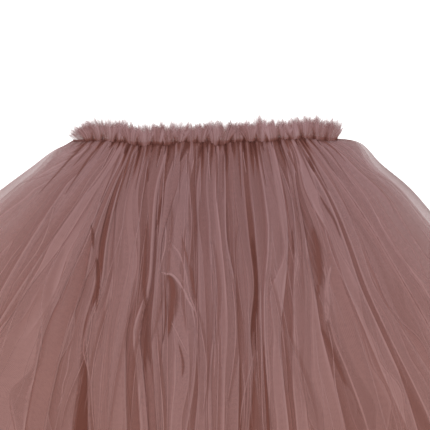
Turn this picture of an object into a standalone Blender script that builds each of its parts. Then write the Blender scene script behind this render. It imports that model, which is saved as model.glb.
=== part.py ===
"""A girl's tulle skirt with a gathered waist and a heading ruffle, laid flat on its back.

Metres, +Z up, +Y towards the waist. The origin is on the surface that the skirt lies on,
under the middle of its outline. The cloth lies in four pleated walls on each other: the
outer tulle and the under tulle, each with a front and a back that meet at the side folds.
"""

import math
import random

import bmesh
import bpy
import numpy as np

# The cut: the relaxed waist, the lengths below it and the ruffle that stands above it.
WAIST_HALF = 0.115
WAIST_X = 0.0078
OUTER_LENGTH = 0.370
UNDER_LENGTH = 0.360
RUFFLE_HEIGHT = 0.0165
# The left end of the waist seam, and how far the rest of the seam lies below it, in mm. Its
# left half sags and its right half rises a little.
SEAM_Y = 0.1748
SEAM_LINE = (
    # share of the half waist to the right, drop
    (-1.0, 0.0),
    (-0.75, -0.6),
    (-0.5, 1.6),
    (-0.3, 2.0),
    (-0.1, 0.4),
    (0.1, 0.8),
    (0.3, -0.6),
    (0.5, -1.5),
    (0.75, -3.0),
    (1.0, -1.8),
)

# The fan: how far the side folds turn from straight down, at the waist and at the hem.
WAIST_ANGLE = math.radians(60)
HEM_ANGLE = math.radians(24)

# How far the side folds lie out of an even curve, in mm: the right one is puffed near the
# waist and hangs closer further down.
SIDE_BULGES = (
    # down, left, right
    (0, 0.0, 0.0),
    (6, 0.0, 0.0),
    (16, 1.0, 6.5),
    (42, -0.5, 1.5),
    (75, -1.0, -1.0),
    (110, -0.5, -7.0),
    (170, 1.5, -11.0),
    (260, 1.0, -14.0),
    (370, 0.0, -17.0),
)

# Walls and gaps. UNDER_EDGE is where the under tulle's side folds lie in the outer tulle.
WALL = 0.0012
BACK_WALL = 0.0016
GAP = 0.0003
AIR = 0.0005
UNDER_EDGE = 0.93

# The elastic is a loop, flattened like the waist, with a front and a back strand.
ELASTIC_TUBE = 0.0016
ELASTIC_BACK_Z = 0.0027
ELASTIC_FRONT_Z = 0.0094
ELASTIC_GATHERS = 30
SEAM_CLEAR = ELASTIC_TUBE + WALL / 2 + GAP
RUFFLE_CLEAR = ELASTIC_TUBE + GAP

# Depths below the seam, as lengths down the cloth, where the fold edges are given.
NEAR, MID, LOW = 0.017, 0.102, 0.247
NEAR_DOWN, MID_DOWN, LOW_DOWN = 0.020, 0.110, 0.265

# Edges between the front's folds: distance from the middle in mm near the waist, midway
# and low, and the share of the full height of the fold that starts there. None is where
# an edge keeps to its place in the fan.
FRONT_EDGES = (
    # near, mid, low, height
    (-122, None, None, 0.60),
    (-109, None, None, 0.72),
    (-95, -148, None, 0.85),
    (-83, -136, -187, 0.80),
    (-72, -109, -154, 0.95),
    (-65, -89, -107, 0.70),
    (-56, -77, -81, 0.95),
    (-49, -66, -73, 0.75),
    (-42, -55, -66, 1.00),
    (-34, -48, -55, 0.72),
    (-26, -37, -41, 0.90),
    (-18, -28, -26, 0.75),
    (-11, -20, -14, 1.00),
    (-3, -4, -2, 0.90),
    (7, 8, 7, 0.78),
    (16, 22, 27, 0.95),
    (25, 33, 35, 0.70),
    (35, 44, 43, 0.85),
    (47, 53, 56, 1.00),
    (59, 72, 78, 0.80),
    (68, 89, 124, 0.92),
    (76, 108, 153, 0.75),
    (84, 125, 179, 1.00),
    (92, 145, 204, 0.85),
    (101, 164, None, 0.95),
    (111, 181, None, 0.80),
    (121, None, None, 0.72),
    (133, None, None, 0.55),
)
FIRST_FOLD_HEIGHT = 0.45

# One row for each pleated wall: its folds, fold heights at the waist and full, and seed.
FOLDS = {
    # name: (folds, waist height, full height, seed)
    "back_outer": (24, 0.0010, 0.0042, 3),
    "back_under": (18, 0.0010, 0.0085, 5),
    "front_under": (22, 0.0012, 0.0100, 7),
    "front_outer": (len(FRONT_EDGES) + 1, 0.0018, 0.0140, 9),
}
# Air that the folded net holds under each wall where the pile is highest.
LOFT = {"back_under": 0.002, "front_under": 0.004, "front_outer": 0.006}

# Rows of each wall, as lengths down the cloth.
OUTER_ROWS = (0.0, 0.016, 0.040, 0.075, 0.130, 0.200, 0.290, OUTER_LENGTH)
UNDER_ROWS = (0.0, 0.022, 0.070, 0.160, 0.260, UNDER_LENGTH)
# Steps across one fold: valley, foot, brow and crown, as shares of the fold.
SIX_STEPS = (0.0, 0.16, 0.34, 0.5, 0.66, 0.84)
FOUR_STEPS = (0.0, 0.25, 0.5, 0.75)
TWO_STEPS = (0.0, 0.5)
BOX_SHAPE = 0.85

RUFFLES = {
    # name: (waves, seam height, tip height, wave at the seam, wave at the tip, wall, seed)
    "ruffle_front": (46, ELASTIC_FRONT_Z, 0.0150, 0.0009, 0.0027, 0.0010, 11),
    "ruffle_back": (30, ELASTIC_BACK_Z, 0.0040, 0.0009, 0.0018, 0.0010, 13),
}
RUFFLE_END_ANGLE = math.radians(30)
RUFFLE_SWING = math.radians(13)
RUFFLE_END_TRIM = 0.28

TULLE = (0.315, 0.172, 0.163, 1.0)
TULLE_DEEP = (0.230, 0.115, 0.105, 1.0)


def smooth(x):
    """0 below 0, 1 above 1 and a smooth step between."""
    x = np.clip(x, 0.0, 1.0)
    return x * x * (3 - 2 * x)


def seam_drop(share):
    """How far the waist seam lies below its left end."""
    shares, drops = zip(*SEAM_LINE)
    return np.interp(share, shares, drops) / 1000


def fan(share, down):
    """Plan place of the cloth: share is -1 at the left side fold and 1 at the right one."""
    swing = share * abs(share)
    start = swing * WAIST_ANGLE
    end = swing * (WAIST_ANGLE + (HEM_ANGLE - WAIST_ANGLE) * down / OUTER_LENGTH)
    middle = (start + end) / 2
    across = (math.sin(start) + 4 * math.sin(middle) + math.sin(end)) / 6
    along = (math.cos(start) + 4 * math.cos(middle) + math.cos(end)) / 6
    downs, left, right = zip(*SIDE_BULGES)
    bulge = np.interp(down * 1000, downs, right if share > 0 else left) / 1000
    bulge *= abs(share) ** 6
    x = share * WAIST_HALF + down * across + math.copysign(1.0, share) * bulge * math.cos(end)
    y = SEAM_Y - seam_drop(share) - down * along + bulge * abs(math.sin(end))
    return WAIST_X + x, y


def shares_at(depth, places):
    """Fan shares of points at a depth straight below the seam; places are in mm."""
    grid = np.linspace(-1, 1, 161)
    downs = np.linspace(0, OUTER_LENGTH, 60)
    across = []
    for share in grid:
        points = np.array([fan(share, down) for down in downs])
        across.append(np.interp(depth, points[0, 1] - points[:, 1], points[:, 0]))
    return np.interp(np.array(places) / 1000 + WAIST_X, across, grid)


def front_edges():
    """Fan shares of the front's fold edges: rows near, midway and low, side folds included."""
    stations = []
    for column, depth in enumerate((NEAR, MID, LOW)):
        known = [row[column] for row in FRONT_EDGES]
        found = shares_at(depth, [0 if place is None else place for place in known])
        if stations:
            hidden = [place is None for place in known]
            found = np.where(hidden, stations[-1], found)
        stations.append(found)
    sides = np.ones((3, 1))
    return np.hstack([-sides, np.array(stations), sides])


def random_edges(count, edge, seed):
    """Fan shares of unevenly wide folds between the side folds at -edge and edge."""
    rng = random.Random(seed)
    widths = [rng.uniform(0.7, 1.3) for _ in range(count)]
    ends = np.concatenate([[0.0], np.cumsum(widths)]) / sum(widths)
    return np.tile(edge * (2 * ends - 1), (3, 1))


def bloom(down):
    """How far the pile has opened: 0 at the waist seam, 1 in the body, less at the hem."""
    return smooth(down / 0.085) * (1 - 0.30 * smooth((down - 0.19) / 0.20))


def shoulder(share, edge):
    """1 in the middle of a wall, rounding down to 0 at its side folds."""
    return math.sqrt(max(0.0, 1 - abs(share / edge) ** 5))


def tucked(share):
    """0 at the side folds of the outer tulle and 1 from where the under tulle starts."""
    return float(smooth((1 - abs(share)) / (1 - UNDER_EDGE)))


def fold_height(name, share, down):
    """Height that the folds of a wall reach at this place."""
    _, waist, full, _ = FOLDS[name]
    edge = UNDER_EDGE if "under" in name else 1.0
    return (waist + (full - waist) * bloom(down)) * shoulder(share, edge)


def base_height(name, share, down):
    """Height of the middle of a wall in its valleys: each wall clears the folds below it."""
    inside = tucked(share)
    below = BACK_WALL + fold_height("back_outer", share, down) + GAP
    puff = bloom(down) * shoulder(share, 1.0)
    order = ("back_under", "front_under", "front_outer")
    for layer in order:
        below += LOFT[layer] * puff
        if layer == name:
            break
        below += inside * (WALL + AIR) + fold_height(layer, share, down)
    return below + WALL / 2 + (AIR if name == "front_outer" else GAP) * inside


def across_fold(step, down):
    """Place and height, as shares, across one fold: its sides get steep below the waist."""
    steep = BOX_SHAPE * bloom(down)
    place = step + steep / (4 * math.pi) * math.sin(4 * math.pi * step)
    return place, 0.5 - 0.5 * math.cos(2 * math.pi * step)


def tulle_material(name, colour):
    """Matt, slightly sheer cloth in one colour."""
    made = bpy.data.materials.new(name)
    made.use_nodes = True
    shader = made.node_tree.nodes["Principled BSDF"]
    shader.inputs["Base Color"].default_value = colour
    shader.inputs["Roughness"].default_value = 0.85
    made.diffuse_color = colour
    return made


def bent_grid(name, columns, rows, point, material):
    """A grid whose points a function places, by column from the left and row from the waist."""
    shape = bmesh.new()
    bmesh.ops.create_grid(shape, x_segments=columns, y_segments=rows, size=1)
    for vertex in shape.verts:
        column = round((vertex.co.x + 1) / 2 * columns)
        row = round((1 - vertex.co.y) / 2 * rows)
        vertex.co = point(column, row)
    mesh = bpy.data.meshes.new(name)
    shape.to_mesh(mesh)
    shape.free()
    sheet = bpy.data.objects.new(name, mesh)
    sheet.data.materials.append(material)
    skirt.objects.link(sheet)
    return sheet


def thicken(sheet, wall):
    """Turns an open sheet into a wall, half to each side."""
    solid = sheet.modifiers.new("wall", "SOLIDIFY")
    solid.thickness = wall
    solid.offset = 0.0


def pleated_wall(name, edges, heights, steps, rows, material):
    """One layer of the skirt, gathered at the waist and opening into folds."""
    stations = np.array([0.0, NEAR_DOWN, MID_DOWN, LOW_DOWN, OUTER_LENGTH])
    edges = np.vstack([edges[0], edges, edges[2]])
    count = edges.shape[1] - 1
    columns = count * len(steps)

    def point(column, row):
        fold, step = divmod(column, len(steps))
        down = rows[row]
        place, rise = across_fold(steps[step], down)
        left = np.interp(down, stations, edges[:, fold])
        right = np.interp(down, stations, edges[:, min(fold + 1, count)])
        share = float(left + (right - left) * place)
        top = SEAM_CLEAR / math.cos(share * share * WAIST_ANGLE)
        x, y = fan(share, max(down, top))
        height = fold_height(name, share, down) * rise * heights[min(fold, count - 1)]
        if name == "back_outer":
            return x, y, BACK_WALL + height * tucked(share)
        return x, y, base_height(name, share, down) + height

    return bent_grid(name, columns, len(rows) - 1, point, material)


def flat_underside(sheet):
    """Closes a sheet down to the surface that it lies on, with a flat underside."""
    shape = bmesh.new()
    shape.from_mesh(sheet.data)
    lower = bmesh.ops.extrude_face_region(shape, geom=shape.faces[:])["geom"]
    for vertex in (part for part in lower if isinstance(part, bmesh.types.BMVert)):
        vertex.co.z = 0.0
    bmesh.ops.recalc_face_normals(shape, faces=shape.faces[:])
    shape.to_mesh(sheet.data)
    shape.free()


def heights_of(name):
    """Shares of the full height of each fold of a wall with uneven folds."""
    count, _, _, seed = FOLDS[name]
    rng = random.Random(seed + 100)
    return [rng.uniform(0.7, 1.0) for _ in range(count)]


def skirt_layers(material, under_material):
    """The four pleated walls, from the surface upwards."""
    for name, steps, rows in (
        ("back_outer", TWO_STEPS, OUTER_ROWS),
        ("back_under", FOUR_STEPS, UNDER_ROWS),
        ("front_under", FOUR_STEPS, UNDER_ROWS),
    ):
        edge = UNDER_EDGE if "under" in name else 1.0
        edges = random_edges(FOLDS[name][0], edge, FOLDS[name][3])
        cloth = under_material if "under" in name else material
        wall = pleated_wall(name, edges, heights_of(name), steps, rows, cloth)
        if name == "back_outer":
            flat_underside(wall)
        else:
            thicken(wall, WALL)
    heights = [FIRST_FOLD_HEIGHT] + [row[3] for row in FRONT_EDGES]
    front = pleated_wall("front_outer", front_edges(), heights, SIX_STEPS, OUTER_ROWS, material)
    thicken(front, WALL)


def heading_ruffle(name, material):
    """The tulle that stands above the waist seam, in small waves that fan out at the ends."""
    waves, seam_z, tip_z, seam_wave, tip_wave, wall, seed = RUFFLES[name]
    rng = random.Random(seed)
    tips = [rng.uniform(0.84, 1.0) for _ in range(waves + 1)]
    swings = [rng.uniform(-1.0, 1.0) for _ in range(waves // 4 + 2)]
    levels = (0.0, 0.45, 1.0)

    def point(column, row):
        wave, step = divmod(column, len(FOUR_STEPS))
        share = 2 * column / (waves * len(FOUR_STEPS)) - 1
        level = levels[row]
        cluster, rest = divmod(column / len(FOUR_STEPS) / 4, 1)
        swing = swings[int(cluster)] * (1 - rest) + swings[int(cluster) + 1] * rest
        angle = RUFFLE_END_ANGLE * share * abs(share) ** 5 + RUFFLE_SWING * swing * (1 - abs(share))
        length = RUFFLE_HEIGHT * tips[wave] * level * (1 - RUFFLE_END_TRIM * abs(share) ** 12)
        x = WAIST_X + share * (WAIST_HALF - ELASTIC_TUBE) + length * math.sin(angle)
        y = SEAM_Y - seam_drop(share) + RUFFLE_CLEAR + length * math.cos(angle)
        size = seam_wave + (tip_wave - seam_wave) * level
        z = seam_z + (tip_z - seam_z) * level + size * math.cos(2 * math.pi * FOUR_STEPS[step])
        return x, y, z

    columns = waves * len(FOUR_STEPS)
    sheet = bent_grid(name, columns, len(levels) - 1, point, material)
    sheet.data.flip_normals()
    thicken(sheet, wall)


def waist_elastic(material):
    """The gathered elastic: a torus drawn out into the flattened loop of the waist."""
    stations = 4 * ELASTIC_GATHERS // 2 + 8
    turn = (ELASTIC_FRONT_Z - ELASTIC_BACK_Z) / 2
    reach = WAIST_HALF - turn - ELASTIC_TUBE
    middle_z = (ELASTIC_FRONT_Z + ELASTIC_BACK_Z) / 2
    bpy.ops.mesh.primitive_torus_add(
        major_segments=stations,
        minor_segments=6,
        major_radius=1.0,
        minor_radius=0.25,
    )
    loop = bpy.context.object
    loop.name = "waist_elastic"
    straight, arc = 2 * reach, math.pi * turn
    for vertex in loop.data.vertices:
        around = math.atan2(vertex.co.y, vertex.co.x) % (2 * math.pi)
        outward = (math.hypot(vertex.co.x, vertex.co.y) - 1) / 0.25
        sideways = vertex.co.z / 0.25
        length = around / (2 * math.pi) * 2 * (straight + arc)
        if length < straight:
            x, z, lean = reach - length, turn, math.pi / 2
        elif length < straight + arc:
            lean = math.pi / 2 + (length - straight) / turn
            x, z = -reach + turn * math.cos(lean), turn * math.sin(lean)
        elif length < 2 * straight + arc:
            x, z, lean = -reach + (length - straight - arc), -turn, -math.pi / 2
        else:
            lean = -math.pi / 2 + (length - 2 * straight - arc) / turn
            x, z = reach + turn * math.cos(lean), turn * math.sin(lean)
        crimp = 1 - 0.16 * (1 + math.cos(around * ELASTIC_GATHERS)) / 2
        x += outward * ELASTIC_TUBE * crimp * math.cos(lean)
        z += outward * ELASTIC_TUBE * crimp * math.sin(lean)
        y = SEAM_Y - seam_drop(x / WAIST_HALF) + sideways * ELASTIC_TUBE * crimp
        vertex.co = (WAIST_X + x, y, middle_z + z)
    shape = bmesh.new()
    shape.from_mesh(loop.data)
    bmesh.ops.recalc_face_normals(shape, faces=shape.faces[:])
    shape.to_mesh(loop.data)
    shape.free()
    loop.data.materials.append(material)
    for home in loop.users_collection:
        home.objects.unlink(loop)
    skirt.objects.link(loop)


for stale in list(bpy.data.objects):
    bpy.data.objects.remove(stale)
skirt = bpy.data.collections.new("tulle_skirt")
bpy.context.scene.collection.children.link(skirt)
rose = tulle_material("outer_tulle", TULLE)
deep_rose = tulle_material("under_tulle", TULLE_DEEP)
skirt_layers(rose, deep_rose)
heading_ruffle("ruffle_front", rose)
heading_ruffle("ruffle_back", rose)
waist_elastic(deep_rose)
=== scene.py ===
"""The looks of a girl's dusty-rose tulle skirt, laid flat on its back on a pale floor.

The cloth is many gathered plies of sheer net. Each ply is a thin shell on the form of the
solid wall that it stands for, and its folds follow a table of the main creases.
"""

import math

import bpy
import numpy as np
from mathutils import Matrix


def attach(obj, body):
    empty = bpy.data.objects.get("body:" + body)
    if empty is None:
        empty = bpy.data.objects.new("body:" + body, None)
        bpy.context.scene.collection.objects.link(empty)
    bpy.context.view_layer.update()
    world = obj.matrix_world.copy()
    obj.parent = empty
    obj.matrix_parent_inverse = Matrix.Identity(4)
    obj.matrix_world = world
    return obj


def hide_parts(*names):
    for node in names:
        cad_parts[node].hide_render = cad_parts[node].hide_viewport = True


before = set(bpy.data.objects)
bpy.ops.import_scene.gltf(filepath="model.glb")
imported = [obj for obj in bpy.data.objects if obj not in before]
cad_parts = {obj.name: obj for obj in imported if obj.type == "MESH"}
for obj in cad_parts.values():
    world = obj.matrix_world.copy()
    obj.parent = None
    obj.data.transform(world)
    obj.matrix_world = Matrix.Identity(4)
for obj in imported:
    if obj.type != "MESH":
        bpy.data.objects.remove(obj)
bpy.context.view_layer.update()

# The cut, in metres. It is that of the solids, except that the right shoulder bulges more.
WAIST_X = 0.0078
WAIST_HALF = 0.115
SEAM_Y = 0.1748
OUTER_LENGTH = 0.370
UNDER_LENGTH = 0.360
WAIST_ANGLE = math.radians(60)
HEM_ANGLE = math.radians(24)
SEAM_LINE = (
    # share of the half waist to the right, mm below the waist's left end
    (-1.0, 0.0), (-0.75, -0.6), (-0.5, 1.6), (-0.3, 2.0), (-0.1, 0.4), (0.1, 0.8), (0.3, -0.6),
    (0.5, -1.5), (0.75, -3.0), (1.0, -1.8),
)
SIDE_BULGES = (
    # down, left and right, in mm
    (0, 0.0, 0.0), (6, 0.0, 3.0), (16, 1.0, 6.5), (42, -0.5, 1.5), (75, -1.0, -1.0),
    (110, -0.5, -7.0), (170, 1.5, -11.0), (260, 1.0, -14.0), (370, 0.0, -17.0),
)

# The pile's height at the waist seam and where it is highest, and how deep its main folds
# and its tightest gathers go.
SEAM_TOP = 0.0112
PILE_TOP = 0.0540
MAIN_DEPTH = 0.0058
GATHER_DEPTH = 0.0030

# The main creases of the front: where each runs, in mm to the right of the waist's middle,
# at these depths in mm below the seam. None is where it keeps to its place in the fan.
# Then the height of the cloth left of it, in it and right of it, from 0 deep down to 10 on
# the crowns, and how strongly it shows near the waist, midway and low, up to 10.
CREASE_DEPTHS = (8, 37, 84, 123, 161, 199, 246)
CREASES = (
    # at 8, 37, 84, 123, 161, 199, 246; left, dip, right; near, mid, low
    (-103, -159, None, None, None, None, None, 10, 6, 6, 10, 8, 6),
    (-91, -118, None, None, None, None, None, 5, 3, 10, 10, 10, 6),
    (-86, -106, -142, -163, None, None, None, 9, 6, 7, 8, 8, 8),
    (-78, -97, -130, -156, -180, None, None, 7, 4, 9, 9, 9, 9),
    (-72, -89, -117, -147, -172, -200, None, 9, 4, 8, 10, 9, 8),
    (-68, -81, -101, -118, -135, -144, -153, 10, 2, 5, 8, 10, 9),
    (-66, -78, -95, -103, -117, -127, -137, 4, 2, 9, 9, 9, 3),
    (-64, -76, -89, -93, -103, -106, -112, 9, 0, 0, 9, 10, 10),
    (-62, -73, -84, -89, -101, -100, -99, 0, 0, 10, 9, 10, 10),
    (-57, -71, -77, -78, -83, -87, -90, 9, 6, 8, 9, 6, 7),
    (-49, -56, -55, -57, -66, -67, -66, 9, 1, 2, 3, 7, 9),
    (-35, -42, -46, -49, -61, -58, -55, 3, 2, 9, 3, 7, 9),
    (-32, -39, -43, -46, -55, -52, -48, 9, 1, 1, 7, 8, 10),
    (-26, -34, -40, -43, -46, -44, -41, 2, 1, 9, 7, 8, 10),
    (-15, -23, -36, -37, -36, -38, -38, 8, 2, 10, 10, 9, 8),
    (-8, -13, -14, -14, -7, -8, -15, 10, 4, 5, 8, 8, 9),
    (-3, -7, -6, -6, -5, -5, -9, 3, 1, 9, 10, 10, 8),
    (4, 3, 6, 8, 8, 5, 6, 9, 8, 8, 5, 6, 7),
    (12, 10, 14, 18, 20, 18, 17, 9, 7, 7, 8, 7, 6),
    (17, 18, 19, 26, 28, 30, 29, 9, 2, 4, 9, 9, 10),
    (23, 24, 30, 36, 36, 36, 34, 6, 3, 7, 8, 8, 8),
    (32, 34, 38, 42, 39, 41, 38, 7, 0, 0, 6, 10, 9),
    (36, 38, 43, 46, 45, 43, 42, 0, 0, 8, 6, 10, 9),
    (44, 49, 53, 50, 50, 52, 55, 6, 3, 10, 10, 9, 8),
    (60, 66, 71, 69, 65, 67, 72, 10, 2, 4, 9, 9, 9),
    (67, 72, 76, 75, 75, 74, 78, 3, 2, 9, 8, 10, 8),
    (74, 78, 86, 93, 99, 109, 121, 9, 1, 2, 8, 8, 5),
    (76, 81, 96, 103, 107, 121, 138, 3, 2, 6, 7, 6, 4),
    (78, 84, 106, 119, 135, 151, 172, 5, 3, 10, 9, 9, 6),
    (82, 99, 119, 132, 149, 166, 181, 10, 0, 1, 9, 7, 6),
    (85, 101, 122, 136, 153, 172, 194, 1, 0, 9, 9, 7, 6),
    (90, 109, 131, 144, 168, 193, None, 9, 5, 7, 9, 9, 8),
    (96, 116, 147, 170, 192, None, None, 8, 4, 9, 9, 9, 8),
    (103, 128, 155, 184, None, None, None, 8, 5, 9, 9, 9, 8),
    (116, 146, 179, None, None, None, None, 9, 4, 8, 9, 9, 8),
    (125, 161, None, None, None, None, None, 8, 5, 9, 9, 9, 8),
)

# Folds that cross the others, and the gaps that open beside them, which lie as narrow strips
# of net on the top ply: the folds with painted highlights, the gaps dark with painted shade.
FOLDS = (
    # light, from -10 in a gap to 10, cover, up to 10, and places from the upper end: mm to
    # the right of the waist's middle, mm below the seam and mm wide
    (-6, 8, ((40, 80, 1), (41, 92, 4), (43, 110, 4), (43.8, 131, 4.5), (42, 155, 6), (43, 182, 1))),
    (-3, 6, ((-104, 182, 1), (-102, 200, 6), (-104, 217, 10), (-106, 258, 16), (-108, 300, 8))),
    (-3, 7, ((-93, 98, 2), (-91, 112, 5), (-91, 132, 5), (-93, 148, 2))),
    (-4, 7, ((-97, 72, 1), (-95.5, 81, 4), (-95, 94, 1))),
    (-2, 7, ((-49, 66, 1), (-51, 90, 5), (-52, 120, 6), (-50, 146, 2))),
    (-3, 6, ((-50, 132, 2), (-51, 150, 7), (-52, 175, 8), (-50, 200, 2))),
    (9, 8, ((-34, 70, 1), (-33.2, 80, 1.6), (-34, 92, 1.6), (-37.5, 106, 1.6), (-38.5, 114, 1))),
    (6, 6, ((-31, 88, 2), (-28, 98, 8), (-26.5, 108, 10), (-19, 120, 6), (-13, 134, 2))),
    (8, 7, (
        (-31, 83, 1), (-26.4, 91, 3), (-23, 95, 3.4), (-18, 108, 3.4), (-13, 132, 3),
        (-7.6, 148, 2), (-7, 178, 1),
    )),
    (-3, 9, (
        (-34, 112, 1), (-29, 119, 8), (-27, 129, 12), (-27.5, 142, 12), (-30, 157, 7),
        (-32, 170, 1),
    )),
    (-4, 9, ((-35, 112, 1), (-34, 130, 1.8), (-33.5, 152, 1.8), (-36, 174, 1))),
    (-1, 7, ((-20, 80, 1), (-15.5, 100, 6), (-10.5, 121, 6), (-7, 140, 1))),
    (9, 8, (
        (-39, 110, 1), (-36.6, 113, 2.6), (-28, 115, 3.4), (-21.3, 122.5, 3.6), (-12.8, 139, 3),
        (-7.2, 149, 1),
    )),
    (5, 6, ((-50, 180, 2), (-47, 203, 8), (-45, 229, 10), (-44, 256, 10), (-44, 285, 4))),
    (8, 7, ((-31, 150, 1), (-26, 160, 1.6), (-18, 176, 1.6), (-13, 186, 1))),
    (-3, 7, ((-23, 172, 1), (-20, 182, 2.5), (-18.5, 191, 3.5), (-19.5, 203, 1))),
    (8, 6, (
        (-88.5, 106, 1), (-91, 138, 2), (-100, 160, 2.4), (-103.5, 181, 2), (-99, 197, 2),
        (-100, 250, 1),
    )),
    (8, 7, ((108, 104, 2), (104, 122, 6), (103.5, 140, 9), (104, 158, 4))),
    (-2, 7, ((91, 72, 2), (95, 90, 11), (97, 108, 11), (96, 136, 2))),
    (-2, 6, ((98, 158, 3), (108, 180, 7), (121, 212, 3))),
    (-4, 7, ((97, 46, 1), (103, 57, 3), (108, 65, 3), (116, 85, 1))),
    (1, 3, ((163, 190, 1), (172, 212, 6), (182, 232, 11), (196, 262, 8))),
    (-5, 8, ((89, 14, 1), (91.5, 21, 5), (94, 28, 1))),
    (-4, 8, ((-49.5, 23, 1), (-49.5, 29, 2.5), (-49, 36, 1))),
    (-4, 7, ((-37, 48, 1), (-39, 62, 4), (-42, 78, 1))),
    (-4, 7, ((74, 75, 1), (74.5, 86, 3), (76, 99, 1))),
    (0, 5, ((44.5, 182, 2), (44, 205, 10), (43, 232, 16), (42, 262, 20), (41, 290, 8))),
    (-3, 8, ((49.4, 168, 1), (50.5, 195, 3), (53, 230, 5.5), (55, 262, 7), (56, 290, 3))),
    (-2, 7, ((29.5, 184, 1), (30, 215, 3.5), (29.5, 246, 3.5), (29, 275, 1))),
    (8, 6, ((43.5, 176, 1), (37.5, 199, 1.6), (32.4, 221, 1.6), (29, 250, 1.4), (27, 275, 1))),
    (-6, 8, ((-64, 1, 6), (-67, 5, 5), (-70, 12, 1))),
    (-6, 8, ((-15, 1, 7), (-18, 8, 6), (-22, 19, 1))),
    (-5, 8, ((-3, 2, 4), (-4.5, 8, 4), (-6, 16, 1))),
)
# Small knots where the gathers are drawn tightest under the seam: dense net in painted shade.
KNOTS = (
    # across, width and length in mm
    (-80, 2.0, 5), (-74, 1.6, 6), (-57, 2.4, 8), (-45, 2.0, 7), (-34, 2.6, 9), (-29, 1.8, 6),
    (2, 2.0, 9), (9, 2.4, 11), (16, 1.8, 7), (23, 2.2, 9), (28, 1.6, 8), (33, 2.4, 12),
    (41, 2.0, 8), (49, 2.4, 9), (57, 1.8, 7), (65, 2.2, 10), (78, 2.0, 7), (86, 2.6, 8),
    (97, 2.0, 6),
)

# The plies of the front from the top down: how close their small creases are, how far they
# reach towards the side folds, how much deeper they lie than the ply above, and how much of
# the light one thickness of them stops.
PLIES = (
    # name, stands for, pitch, reach, drop, cover, seed
    ("tulle_front_1", "front_outer", 0.0085, 1.000, 0.0000, 0.48, 21),
    ("tulle_front_2", "front_outer", 0.0080, 0.965, 0.0016, 0.48, 22),
    ("tulle_front_3", "front_outer", 0.0130, 0.930, 0.0040, 0.50, 23),
    ("net_front", "front_under", 0.0200, 0.900, 0.0120, 0.80, 24),
)
FRONT_ROWS = 104
# Every ply's rows are closer together near the waist.
ROW_CROWDING = 1.3
# How much the main creases of the lower plies stray from the table's, as a share.
LOWER_SWAY = 0.014
# Least room between a ply and the one above it, and the front's height at its side folds.
PLY_GAP = 0.0004
FRONT_SIDE_Z = 0.0024

# The plies of the back from the floor up.
BACK_PLIES = (
    # name, stands for, columns, rows, reach, z at the waist, z in the body, waves, cover, seed
    ("tulle_back_1", "back_outer", 420, 60, 0.997, 0.0006, 0.0008, 0.0003, 0.62, 31),
    ("tulle_back_2", "back_outer", 360, 50, 0.955, 0.0022, 0.0040, 0.0012, 0.62, 32),
    ("net_back", "back_under", 300, 46, 0.900, 0.0050, 0.0130, 0.0030, 0.85, 33),
)
BACK_SIDE_Z = 0.0010


def smooth(x):
    """0 below 0, 1 above 1 and a smooth step between."""
    x = np.clip(x, 0.0, 1.0)
    return x * x * (3 - 2 * x)


def curve(at, stations, values):
    """A smooth curve through the values at their stations, level beyond its ends."""
    stations, values = np.asarray(stations, float), np.asarray(values, float)
    slopes = np.gradient(values, stations)
    at = np.clip(at, stations[0], stations[-1])
    i = np.clip(np.searchsorted(stations, at) - 1, 0, len(stations) - 2)
    gap = stations[i + 1] - stations[i]
    t = (at - stations[i]) / gap
    start = (1 + 2 * t) * (1 - t) ** 2 * values[i] + t * (1 - t) ** 2 * gap * slopes[i]
    end = t * t * (3 - 2 * t) * values[i + 1] + t * t * (t - 1) * gap * slopes[i + 1]
    return start + end


def drift(rng, v, u, cells_v, cells_u):
    """Smooth uneven values from about -1 to 1 over v and u, which both run from 0 to 1."""
    knots = rng.uniform(-1, 1, (cells_v + 3, cells_u + 3))
    v, u = np.broadcast_arrays(np.clip(v, 0, 1) * cells_v, np.clip(u, 0, 1) * cells_u)
    row, column = v.astype(int), u.astype(int)
    p, q = smooth(v - row), smooth(u - column)
    upper = knots[row, column] * (1 - q) + knots[row, column + 1] * q
    lower = knots[row + 1, column] * (1 - q) + knots[row + 1, column + 1] * q
    return upper * (1 - p) + lower * p


def seam_drop(share):
    """How far the waist seam lies below its left end."""
    return curve(share, *np.array(SEAM_LINE).T) / 1000


def lay_out(share, down):
    """Plan place of the cloth: share is -1 at the left side fold and 1 at the right one.

    The cloth leaves the waist at one angle and turns evenly to the hem's. Its place comes
    from its mean direction, by Simpson's rule.
    """
    swing = share * np.abs(share)
    start = swing * WAIST_ANGLE
    end = swing * (WAIST_ANGLE + (HEM_ANGLE - WAIST_ANGLE) * down / OUTER_LENGTH)
    middle = (start + end) / 2
    across = (np.sin(start) + 4 * np.sin(middle) + np.sin(end)) / 6
    along = (np.cos(start) + 4 * np.cos(middle) + np.cos(end)) / 6
    downs, left, right = np.array(SIDE_BULGES).T
    left = curve(down * 1000, downs, left)
    right = curve(down * 1000, downs, right)
    bulge = np.where(share > 0, right, left) / 1000 * np.abs(share) ** 6
    x = WAIST_X + share * WAIST_HALF + down * across + np.sign(share) * bulge * np.cos(end)
    y = SEAM_Y - seam_drop(share) - down * along + bulge * np.abs(np.sin(end))
    return x, y


# The whole fan, for finding which part of the cloth lies at a place.
FAN_SHARES = np.linspace(-1, 1, 241)
FAN_DOWNS = np.linspace(0, OUTER_LENGTH, 120)
FAN_Y = lay_out(FAN_SHARES[:, None], FAN_DOWNS[None, :])[1]


def on_cloth(across, depth):
    """Share and length down the cloth of a place in mm from the middle and below the seam."""
    level = SEAM_Y - depth / 1000
    downs = np.array([np.interp(-level, -line, FAN_DOWNS) for line in FAN_Y])
    share = np.interp(WAIST_X + across / 1000, lay_out(FAN_SHARES, downs)[0], FAN_SHARES)
    return share, np.interp(share, FAN_SHARES, downs)


def from_waist(x, y):
    """A plan place as mm to the right of the waist's middle and mm below the seam."""
    return (x - WAIST_X) * 1000, (SEAM_Y - y) * 1000


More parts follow.
